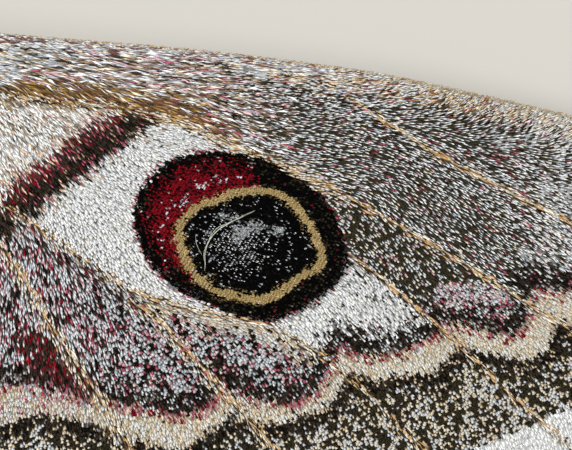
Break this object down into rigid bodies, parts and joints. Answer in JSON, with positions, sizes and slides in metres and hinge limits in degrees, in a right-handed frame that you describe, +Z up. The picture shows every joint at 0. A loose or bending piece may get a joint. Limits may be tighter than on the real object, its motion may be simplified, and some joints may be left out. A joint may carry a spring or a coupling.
{
  "type": "emperor moth",
  "caption": "Life-size female emperor moth at rest with spread wings, an eyespot on each wing, furry body and short combed feelers.",
  "frame": {"origin": "on the floor plane, under the centre of the whole moth's box", "axes": "+Y the way the head faces, +X the moth's right side, +Z up"},
  "size_m": [0.081, 0.0376, 0.01],
  "materials": {
    "wing_scales": "matt, covered in fine scales",
    "fur_pale": "long soft fur",
    "fur_grey": "soft fur in rings",
    "eye": "glossy, finely faceted",
    "antenna": "matt horn",
    "leg": "short fur"
  },
  "bodies": {
    "root": {"head": "fur_grey", "thorax": "fur_pale", "abdomen": "fur_grey", "eye_right": "eye", "eye_left": "eye", "antenna_right": "antenna", "antenna_left": "antenna", "forewing_right": "wing_scales", "forewing_left": "wing_scales", "hindwing_right": "wing_scales", "hindwing_left": "wing_scales", "leg_fore_right": "leg", "leg_fore_left": "leg", "leg_mid_right": "leg", "leg_mid_left": "leg", "leg_hind_right": "leg", "leg_hind_left": "leg"}
  },
  "joints": []
}
